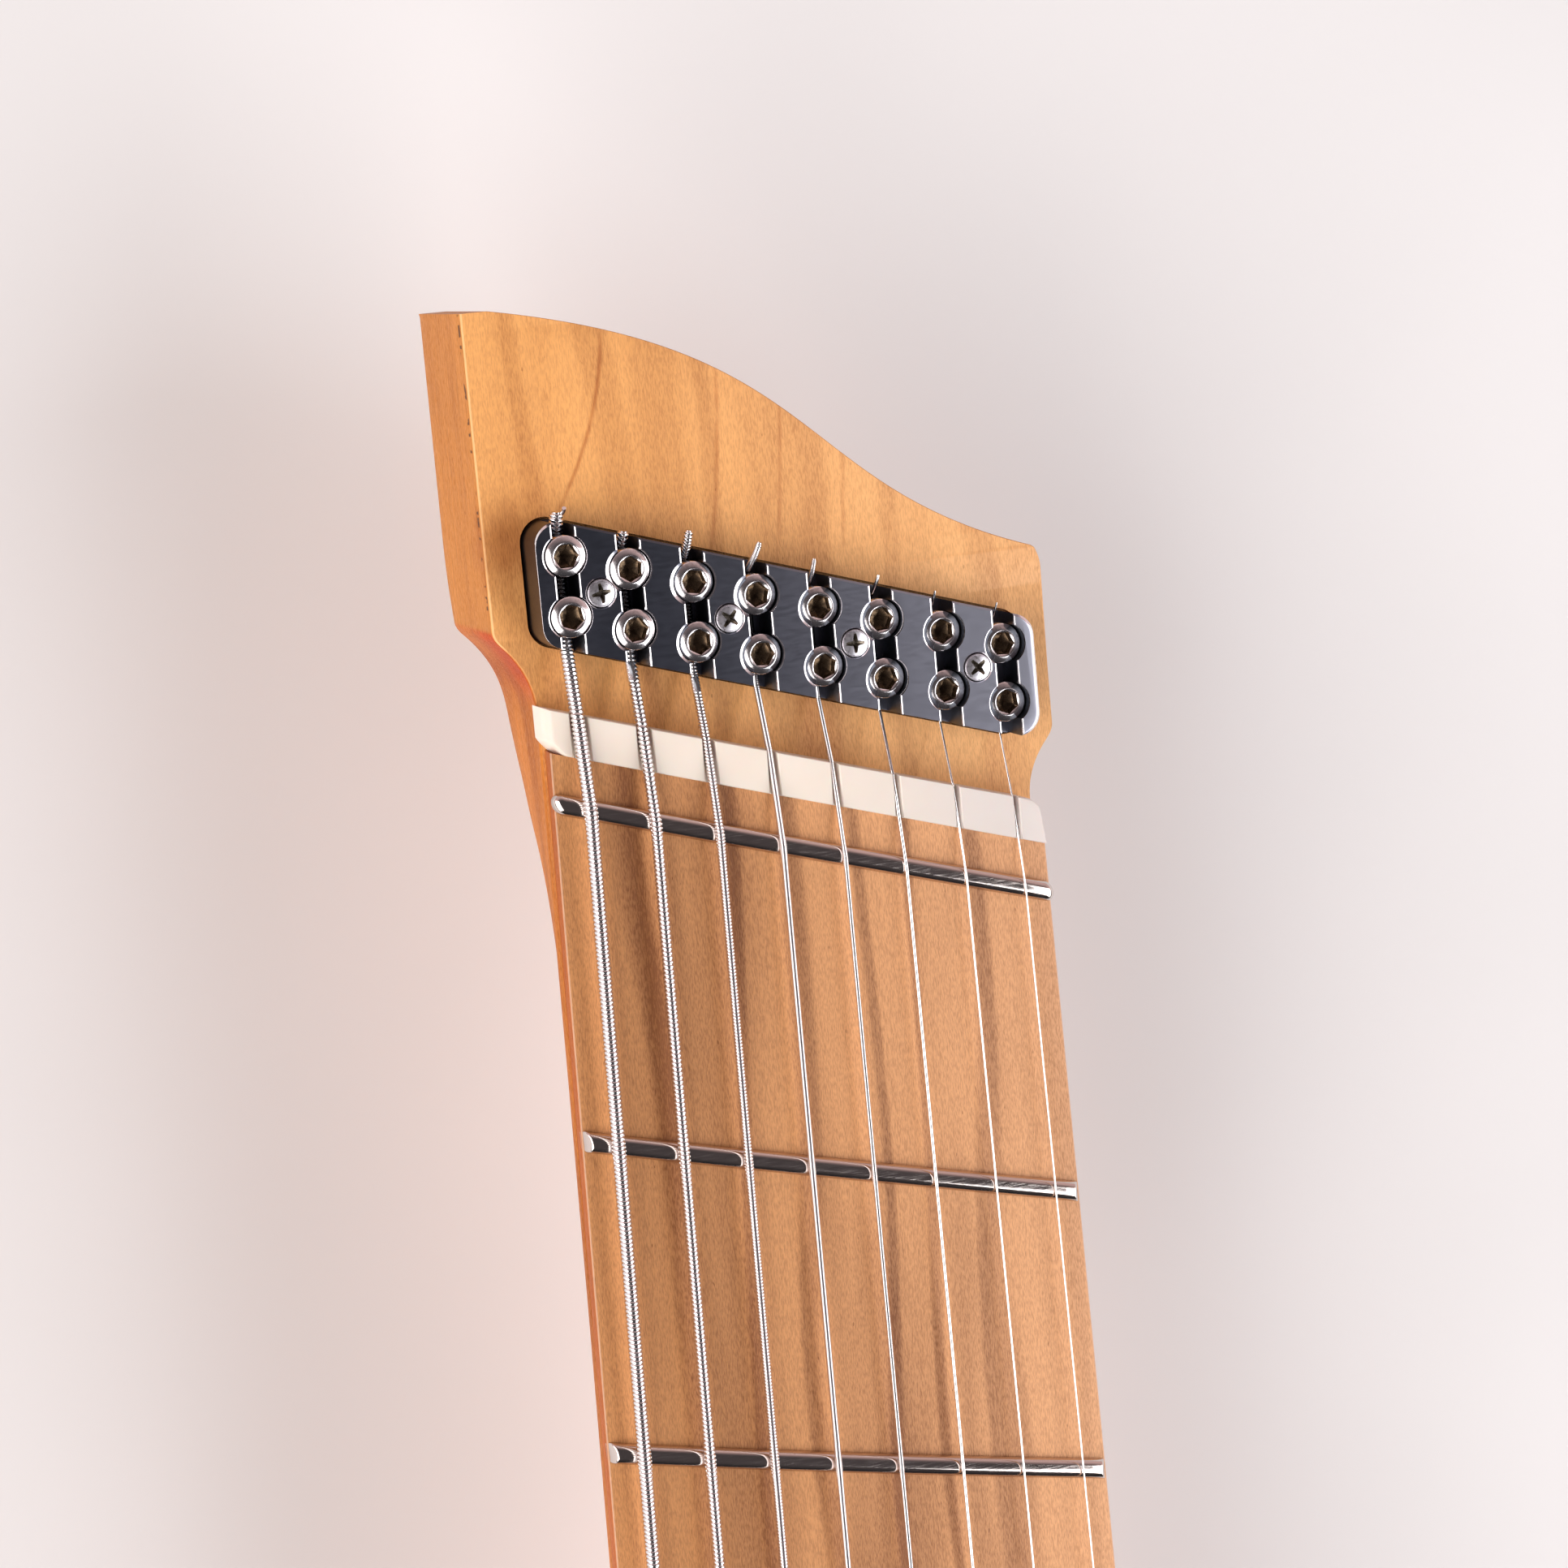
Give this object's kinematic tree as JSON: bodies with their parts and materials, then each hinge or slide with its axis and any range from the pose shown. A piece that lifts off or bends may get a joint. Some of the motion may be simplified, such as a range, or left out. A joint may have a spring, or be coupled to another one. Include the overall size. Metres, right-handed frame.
{
  "type": "eight-string electric guitar",
  "caption": "Headless electric guitar with fanned frets, a string lock block on a bare wooden head and a tuner bridge with a knob for each string",
  "frame": {"origin": "on the flat back of the body, on the centre line, under the middle of the body", "axes": "+X from the body to the head along the centre line, +Y to the bass side, +Z from the back through the strings"},
  "size_m": [0.8193, 0.3033, 0.0594],
  "materials": {
    "body_wood": "satin oiled, open grain",
    "maple": "satin, fine ray flecks",
    "nut_bone": "satin",
    "black_anodised": "satin anodised with bright chamfers",
    "chrome": "polished",
    "string_steel": "bright",
    "satin_steel": "satin",
    "black_plastic": "satin",
    "circuit": "satin"
  },
  "bodies": {
    "guitar": {"body": "body_wood", "neck": "maple", "fretboard": "maple", "nut": "nut_bone", "headpiece": "black_anodised", "headpiece_screw_1": "chrome", "headpiece_screw_2": "chrome", "headpiece_screw_3": "chrome", "headpiece_screw_4": "chrome", "bridge_base": "black_anodised", "string_8": "string_steel", "string_7": "string_steel", "string_6": "string_steel", "string_5": "string_steel", "string_4": "string_steel", "string_3": "string_steel", "string_2": "string_steel", "string_1": "string_steel", "neck_pickup": "black_plastic", "bridge_pickup": "black_plastic", "control_circuit": "circuit", "control_cover": "black_plastic", "output_jack": "chrome", "strap_button_horn": "chrome", "strap_button_tail": "chrome"},
    "lock_screw_head_side_8": {"lock_screw_head_side_8": "chrome"},
    "lock_screw_head_side_7": {"lock_screw_head_side_7": "chrome"},
    "lock_screw_head_side_6": {"lock_screw_head_side_6": "chrome"},
    "lock_screw_head_side_5": {"lock_screw_head_side_5": "chrome"},
    "lock_screw_head_side_4": {"lock_screw_head_side_4": "chrome"},
    "lock_screw_head_side_3": {"lock_screw_head_side_3": "chrome"},
    "lock_screw_head_side_2": {"lock_screw_head_side_2": "chrome"},
    "lock_screw_head_side_1": {"lock_screw_head_side_1": "chrome"},
    "lock_screw_nut_side_8": {"lock_screw_nut_side_8": "chrome"},
    "lock_screw_nut_side_7": {"lock_screw_nut_side_7": "chrome"},
    "lock_screw_nut_side_6": {"lock_screw_nut_side_6": "chrome"},
    "lock_screw_nut_side_5": {"lock_screw_nut_side_5": "chrome"},
    "lock_screw_nut_side_4": {"lock_screw_nut_side_4": "chrome"},
    "lock_screw_nut_side_3": {"lock_screw_nut_side_3": "chrome"},
    "lock_screw_nut_side_2": {"lock_screw_nut_side_2": "chrome"},
    "lock_screw_nut_side_1": {"lock_screw_nut_side_1": "chrome"},
    "tuner_carriage_8": {"tuner_carriage_8": "satin_steel"},
    "tuner_knob_8": {"tuner_knob_8": "black_anodised"},
    "tuner_carriage_7": {"tuner_carriage_7": "satin_steel"},
    "tuner_knob_7": {"tuner_knob_7": "black_anodised"},
    "tuner_carriage_6": {"tuner_carriage_6": "satin_steel"},
    "tuner_knob_6": {"tuner_knob_6": "black_anodised"},
    "tuner_carriage_5": {"tuner_carriage_5": "satin_steel"},
    "tuner_knob_5": {"tuner_knob_5": "black_anodised"},
    "tuner_carriage_4": {"tuner_carriage_4": "satin_steel"},
    "tuner_knob_4": {"tuner_knob_4": "black_anodised"},
    "tuner_carriage_3": {"tuner_carriage_3": "satin_steel"},
    "tuner_knob_3": {"tuner_knob_3": "black_anodised"},
    "tuner_carriage_2": {"tuner_carriage_2": "satin_steel"},
    "tuner_knob_2": {"tuner_knob_2": "black_anodised"},
    "tuner_carriage_1": {"tuner_carriage_1": "satin_steel"},
    "tuner_knob_1": {"tuner_knob_1": "black_anodised"},
    "volume_knob": {"volume_knob": "black_anodised"},
    "tone_knob": {"tone_knob": "black_anodised"},
    "selector_lever": {"selector_lever": "black_plastic"}
  },
  "joints": [
    {"name": "lock_screw_head_side_8_turn", "type": "hinge", "parent": "guitar", "child": "lock_screw_head_side_8", "pos_m": [0.59653, 0.02533, 0.0512], "axis": [0, 0, 1], "range_deg": [0, 360]},
    {"name": "lock_screw_head_side_7_turn", "type": "hinge", "parent": "guitar", "child": "lock_screw_head_side_7", "pos_m": [0.59423, 0.01801, 0.0512], "axis": [0, 0, 1], "range_deg": [0, 360]},
    {"name": "lock_screw_head_side_6_turn", "type": "hinge", "parent": "guitar", "child": "lock_screw_head_side_6", "pos_m": [0.59194, 0.01068, 0.0512], "axis": [0, 0, 1], "range_deg": [0, 360]},
    {"name": "lock_screw_head_side_5_turn", "type": "hinge", "parent": "guitar", "child": "lock_screw_head_side_5", "pos_m": [0.58965, 0.00336, 0.0512], "axis": [0, 0, 1], "range_deg": [0, 360]},
    {"name": "lock_screw_head_side_4_turn", "type": "hinge", "parent": "guitar", "child": "lock_screw_head_side_4", "pos_m": [0.58735, -0.00396, 0.0512], "axis": [0, 0, 1], "range_deg": [0, 360]},
    {"name": "lock_screw_head_side_3_turn", "type": "hinge", "parent": "guitar", "child": "lock_screw_head_side_3", "pos_m": [0.58506, -0.01128, 0.0512], "axis": [0, 0, 1], "range_deg": [0, 360]},
    {"name": "lock_screw_head_side_2_turn", "type": "hinge", "parent": "guitar", "child": "lock_screw_head_side_2", "pos_m": [0.58277, -0.01861, 0.0512], "axis": [0, 0, 1], "range_deg": [0, 360]},
    {"name": "lock_screw_head_side_1_turn", "type": "hinge", "parent": "guitar", "child": "lock_screw_head_side_1", "pos_m": [0.58047, -0.02593, 0.0512], "axis": [0, 0, 1], "range_deg": [0, 360]},
    {"name": "lock_screw_nut_side_8_turn", "type": "hinge", "parent": "guitar", "child": "lock_screw_nut_side_8", "pos_m": [0.58973, 0.02533, 0.0512], "axis": [0, 0, 1], "range_deg": [0, 360]},
    {"name": "lock_screw_nut_side_7_turn", "type": "hinge", "parent": "guitar", "child": "lock_screw_nut_side_7", "pos_m": [0.58743, 0.01801, 0.0512], "axis": [0, 0, 1], "range_deg": [0, 360]},
    {"name": "lock_screw_nut_side_6_turn", "type": "hinge", "parent": "guitar", "child": "lock_screw_nut_side_6", "pos_m": [0.58514, 0.01068, 0.0512], "axis": [0, 0, 1], "range_deg": [0, 360]},
    {"name": "lock_screw_nut_side_5_turn", "type": "hinge", "parent": "guitar", "child": "lock_screw_nut_side_5", "pos_m": [0.58285, 0.00336, 0.0512], "axis": [0, 0, 1], "range_deg": [0, 360]},
    {"name": "lock_screw_nut_side_4_turn", "type": "hinge", "parent": "guitar", "child": "lock_screw_nut_side_4", "pos_m": [0.58055, -0.00396, 0.0512], "axis": [0, 0, 1], "range_deg": [0, 360]},
    {"name": "lock_screw_nut_side_3_turn", "type": "hinge", "parent": "guitar", "child": "lock_screw_nut_side_3", "pos_m": [0.57826, -0.01128, 0.0512], "axis": [0, 0, 1], "range_deg": [0, 360]},
    {"name": "lock_screw_nut_side_2_turn", "type": "hinge", "parent": "guitar", "child": "lock_screw_nut_side_2", "pos_m": [0.57597, -0.01861, 0.0512], "axis": [0, 0, 1], "range_deg": [0, 360]},
    {"name": "lock_screw_nut_side_1_turn", "type": "hinge", "parent": "guitar", "child": "lock_screw_nut_side_1", "pos_m": [0.57367, -0.02593, 0.0512], "axis": [0, 0, 1], "range_deg": [0, 360]},
    {"name": "tuner_knob_8_turn", "type": "hinge", "parent": "guitar", "child": "tuner_knob_8", "pos_m": [-0.13895, 0.03675, 0.0489], "axis": [-1, 0, 0], "range_deg": [-1800, 1800]},
    {"name": "tuner_carriage_8_slide", "type": "slide", "parent": "guitar", "child": "tuner_carriage_8", "axis": [-1, 0, 0], "range_m": [-0.0035, 0.0035]},
    {"name": "tuner_knob_7_turn", "type": "hinge", "parent": "guitar", "child": "tuner_knob_7", "pos_m": [-0.13582, 0.02625, 0.0489], "axis": [-1, 0, 0], "range_deg": [-1800, 1800]},
    {"name": "tuner_carriage_7_slide", "type": "slide", "parent": "guitar", "child": "tuner_carriage_7", "axis": [-1, 0, 0], "range_m": [-0.0035, 0.0035]},
    {"name": "tuner_knob_6_turn", "type": "hinge", "parent": "guitar", "child": "tuner_knob_6", "pos_m": [-0.13269, 0.01575, 0.0489], "axis": [-1, 0, 0], "range_deg": [-1800, 1800]},
    {"name": "tuner_carriage_6_slide", "type": "slide", "parent": "guitar", "child": "tuner_carriage_6", "axis": [-1, 0, 0], "range_m": [-0.0035, 0.0035]},
    {"name": "tuner_knob_5_turn", "type": "hinge", "parent": "guitar", "child": "tuner_knob_5", "pos_m": [-0.12956, 0.00525, 0.0489], "axis": [-1, 0, 0], "range_deg": [-1800, 1800]},
    {"name": "tuner_carriage_5_slide", "type": "slide", "parent": "guitar", "child": "tuner_carriage_5", "axis": [-1, 0, 0], "range_m": [-0.0035, 0.0035]},
    {"name": "tuner_knob_4_turn", "type": "hinge", "parent": "guitar", "child": "tuner_knob_4", "pos_m": [-0.12644, -0.00525, 0.0489], "axis": [-1, 0, 0], "range_deg": [-1800, 1800]},
    {"name": "tuner_carriage_4_slide", "type": "slide", "parent": "guitar", "child": "tuner_carriage_4", "axis": [-1, 0, 0], "range_m": [-0.0035, 0.0035]},
    {"name": "tuner_knob_3_turn", "type": "hinge", "parent": "guitar", "child": "tuner_knob_3", "pos_m": [-0.12331, -0.01575, 0.0489], "axis": [-1, 0, 0], "range_deg": [-1800, 1800]},
    {"name": "tuner_carriage_3_slide", "type": "slide", "parent": "guitar", "child": "tuner_carriage_3", "axis": [-1, 0, 0], "range_m": [-0.0035, 0.0035]},
    {"name": "tuner_knob_2_turn", "type": "hinge", "parent": "guitar", "child": "tuner_knob_2", "pos_m": [-0.12018, -0.02625, 0.0489], "axis": [-1, 0, 0], "range_deg": [-1800, 1800]},
    {"name": "tuner_carriage_2_slide", "type": "slide", "parent": "guitar", "child": "tuner_carriage_2", "axis": [-1, 0, 0], "range_m": [-0.0035, 0.0035]},
    {"name": "tuner_knob_1_turn", "type": "hinge", "parent": "guitar", "child": "tuner_knob_1", "pos_m": [-0.11705, -0.03675, 0.0489], "axis": [-1, 0, 0], "range_deg": [-1800, 1800]},
    {"name": "tuner_carriage_1_slide", "type": "slide", "parent": "guitar", "child": "tuner_carriage_1", "axis": [-1, 0, 0], "range_m": [-0.0035, 0.0035]},
    {"name": "volume_knob_turn", "type": "hinge", "parent": "guitar", "child": "volume_knob", "pos_m": [-0.065, -0.096, 0.043], "axis": [0, 0, 1], "range_deg": [-150, 150]},
    {"name": "tone_knob_turn", "type": "hinge", "parent": "guitar", "child": "tone_knob", "pos_m": [-0.105, -0.1, 0.043], "axis": [0, 0, 1], "range_deg": [-150, 150]},
    {"name": "selector_swing", "type": "hinge", "parent": "guitar", "child": "selector_lever", "pos_m": [-0.03, -0.09, 0.0305], "axis": [0, 1, 0], "range_deg": [-20, 20]}
  ],
  "couplings": [
    {"joint": "tuner_knob_8_turn", "follows": "tuner_carriage_8_slide", "rad_per_m": 8975.9},
    {"joint": "tuner_knob_7_turn", "follows": "tuner_carriage_7_slide", "rad_per_m": 8975.9},
    {"joint": "tuner_knob_6_turn", "follows": "tuner_carriage_6_slide", "rad_per_m": 8975.9},
    {"joint": "tuner_knob_5_turn", "follows": "tuner_carriage_5_slide", "rad_per_m": 8975.9},
    {"joint": "tuner_knob_4_turn", "follows": "tuner_carriage_4_slide", "rad_per_m": 8975.9},
    {"joint": "tuner_knob_3_turn", "follows": "tuner_carriage_3_slide", "rad_per_m": 8975.9},
    {"joint": "tuner_knob_2_turn", "follows": "tuner_carriage_2_slide", "rad_per_m": 8975.9},
    {"joint": "tuner_knob_1_turn", "follows": "tuner_carriage_1_slide", "rad_per_m": 8975.9}
  ]
}
